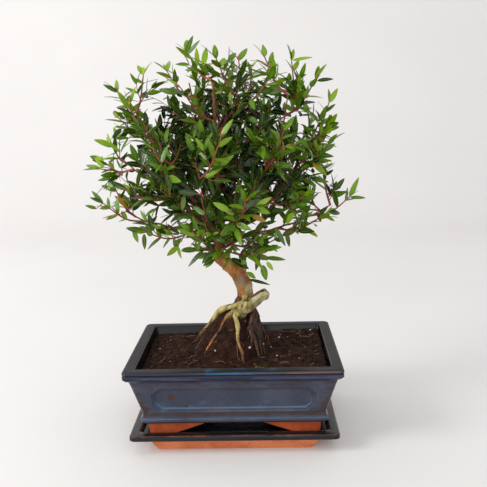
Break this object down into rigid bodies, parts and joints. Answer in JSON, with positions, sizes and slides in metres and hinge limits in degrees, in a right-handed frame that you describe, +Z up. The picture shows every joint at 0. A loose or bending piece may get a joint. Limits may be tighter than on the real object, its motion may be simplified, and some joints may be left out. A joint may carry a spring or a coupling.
{
  "type": "syzygium bonsai tree in a glazed pot",
  "caption": "Small-leaved bonsai tree with a bent trunk on raised roots, in a flared rectangular glazed pot that stands on four feet in its saucer.",
  "frame": {"origin": "centre of the saucer's flat underside, where it stands", "axes": "+Z up; -Y towards the front, where the trunk's stub and the pot's long panel are seen; +X to the right"},
  "size_m": [0.262, 0.1833, 0.3766],
  "materials": {
    "saucer_glaze": "gloss",
    "glaze": "gloss",
    "mesh_plastic": "matte",
    "soil": "matte",
    "bark": "matte",
    "leaf": "satin"
  },
  "bodies": {
    "root": {"saucer": "saucer_glaze", "pot": "glaze", "drain_mesh_left": "mesh_plastic", "drain_mesh_right": "mesh_plastic", "soil": "soil", "trunk": "bark", "spray_01": "leaf", "spray_02": "leaf", "spray_03": "leaf", "spray_04": "leaf", "spray_05": "leaf", "spray_06": "leaf", "spray_07": "leaf", "spray_08": "leaf", "spray_09": "leaf", "spray_10": "leaf", "spray_11": "leaf", "spray_12": "leaf", "spray_13": "leaf", "spray_14": "leaf", "spray_15": "leaf", "spray_16": "leaf", "spray_17": "leaf", "spray_18": "leaf", "spray_19": "leaf", "spray_20": "leaf", "spray_21": "leaf", "spray_22": "leaf", "spray_23": "leaf", "spray_24": "leaf", "spray_25": "leaf", "spray_26": "leaf", "spray_27": "leaf", "spray_28": "leaf", "spray_29": "leaf", "spray_30": "leaf", "spray_31": "leaf", "spray_32": "leaf", "spray_33": "leaf", "spray_34": "leaf", "spray_35": "leaf", "spray_36": "leaf", "spray_37": "leaf", "spray_38": "leaf", "spray_39": "leaf", "spray_40": "leaf", "spray_41": "leaf", "spray_42": "leaf", "spray_43": "leaf", "spray_44": "leaf", "spray_45": "leaf", "spray_46": "leaf"}
  },
  "joints": []
}
